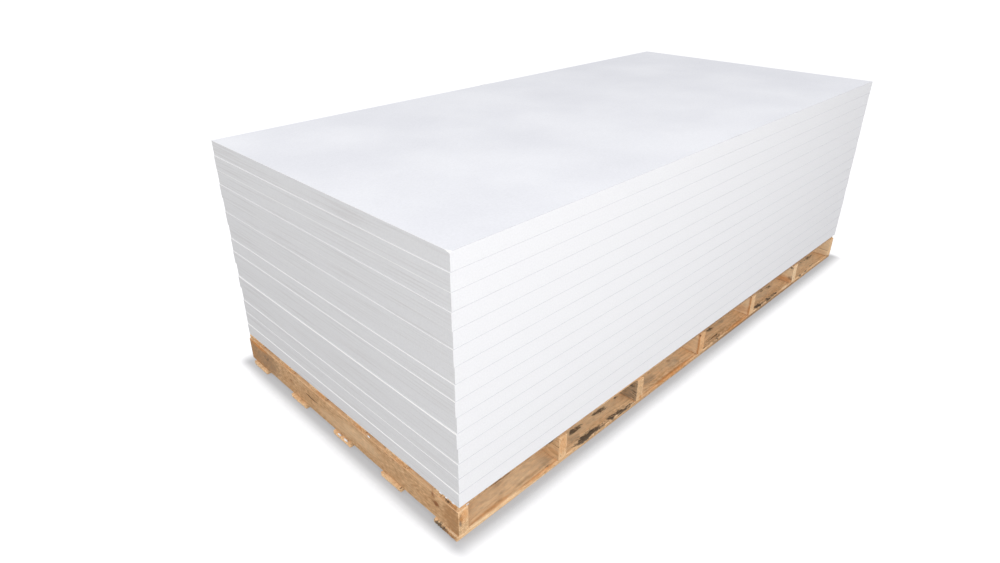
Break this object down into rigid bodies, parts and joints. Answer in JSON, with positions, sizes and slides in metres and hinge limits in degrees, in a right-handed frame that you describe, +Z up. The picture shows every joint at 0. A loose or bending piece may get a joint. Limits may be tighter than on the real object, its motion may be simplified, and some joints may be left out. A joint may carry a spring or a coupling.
{
  "type": "pallet of fire-resistant boards",
  "caption": "Stack of thick white fire-resistant building boards lying flat on a nailed wooden stringer pallet, with open fork ways between its cross bearers.",
  "frame": {"origin": "on the floor, under the middle of the pallet", "axes": "+X along the boards' length, away from the end with the chipped corner; +Y across their width, away from the side with the chipped corner; +Z up"},
  "size_m": [2.518, 1.2, 0.872],
  "materials": {
    "fire_board": "matte white calcium silicate, sanded faces and sawn edges",
    "stringer_wood": "rough-sawn softwood, stained by use",
    "deck_wood": "rough-sawn softwood, weathered along its edges"
  },
  "bodies": {
    "root": {"sheet_01": "fire_board", "sheet_02": "fire_board", "sheet_03": "fire_board", "sheet_04": "fire_board", "sheet_05": "fire_board", "sheet_06": "fire_board", "sheet_07": "fire_board", "sheet_08": "fire_board", "sheet_09": "fire_board", "sheet_10": "fire_board", "sheet_11": "fire_board", "sheet_12": "fire_board", "sheet_13": "fire_board", "sheet_14": "fire_board", "sheet_15": "fire_board", "stringer_1": "stringer_wood", "stringer_2": "stringer_wood", "stringer_3": "stringer_wood", "stringer_4": "stringer_wood", "stringer_5": "stringer_wood", "stringer_6": "stringer_wood", "stringer_7": "stringer_wood", "top_deck_board_1": "deck_wood", "top_deck_board_2": "deck_wood", "top_deck_board_3": "deck_wood", "top_deck_board_4": "deck_wood", "top_deck_board_5": "deck_wood", "top_deck_board_6": "deck_wood", "bottom_deck_board_1": "deck_wood", "bottom_deck_board_2": "deck_wood", "bottom_deck_board_3": "deck_wood", "bottom_deck_board_4": "deck_wood", "bottom_deck_board_5": "deck_wood"}
  },
  "joints": []
}
